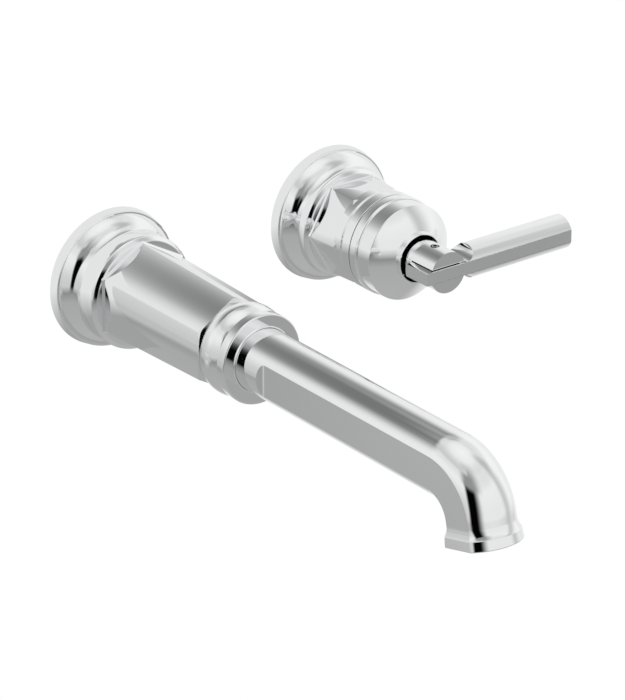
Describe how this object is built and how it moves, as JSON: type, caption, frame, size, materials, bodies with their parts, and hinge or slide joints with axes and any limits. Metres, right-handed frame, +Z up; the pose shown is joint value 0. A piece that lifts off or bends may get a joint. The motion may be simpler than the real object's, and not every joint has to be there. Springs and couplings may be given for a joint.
{
  "type": "wall-mounted basin faucet",
  "caption": "Wall-mounted basin faucet with a long downturned spout, a hexagonal sleeve, and a separate hexagonal valve bonnet with a slotted hub and side lever.",
  "frame": {"origin": "the point where the spout's axis meets the finished wall", "axes": "+Y into the wall, so the spout runs out along -Y; +X from the spout to the lever unit; +Z up"},
  "size_m": [0.1988, 0.301, 0.076],
  "materials": {
    "chrome": "polished chrome plate on brass",
    "brass": "cast and turned brass, unplated",
    "copper": null,
    "steel": "plain stainless or zinc-plated steel",
    "seal_rubber": "moulded rubber",
    "white_plastic": "moulded plastic",
    "gasket_foam": "closed-cell foam"
  },
  "bodies": {
    "fixed_set": {"spout_escutcheon": "chrome", "hex_sleeve": "chrome", "spout_disc": "chrome", "spout_tube": "chrome", "aerator_housing": "chrome", "lever_escutcheon": "chrome", "hex_bonnet": "chrome", "bonnet_cap": "chrome", "spout_nipple": "brass", "spout_elbow": "brass", "cartridge_body": "brass", "bonnet_nut": "brass", "valve_body": "brass", "cross_pipe": "copper", "aerator_screen": "steel", "spout_grub_screw": "steel", "clamp_screw_1": "steel", "clamp_screw_2": "steel", "wall_bracket": "steel", "wall_screw_1": "steel", "wall_screw_2": "steel", "wall_screw_3": "steel", "wall_screw_4": "steel", "aerator_washer": "seal_rubber", "nipple_seal_1": "seal_rubber", "nipple_seal_2": "seal_rubber", "tube_seal_1": "seal_rubber", "tube_seal_2": "seal_rubber", "aerator_insert": "white_plastic", "spout_gasket": "gasket_foam", "lever_gasket": "gasket_foam"},
    "lever_set": {"lever": "chrome", "lever_hub": "chrome", "lever_grub_screw": "steel", "hub_screw": "steel", "cartridge_stem": "brass"}
  },
  "joints": [
    {"name": "lever_turn", "type": "hinge", "parent": "fixed_set", "child": "lever_set", "pos_m": [0.1016, -0.06, 0], "axis": [0, -1, 0], "range_deg": [0, 90]}
  ]
}
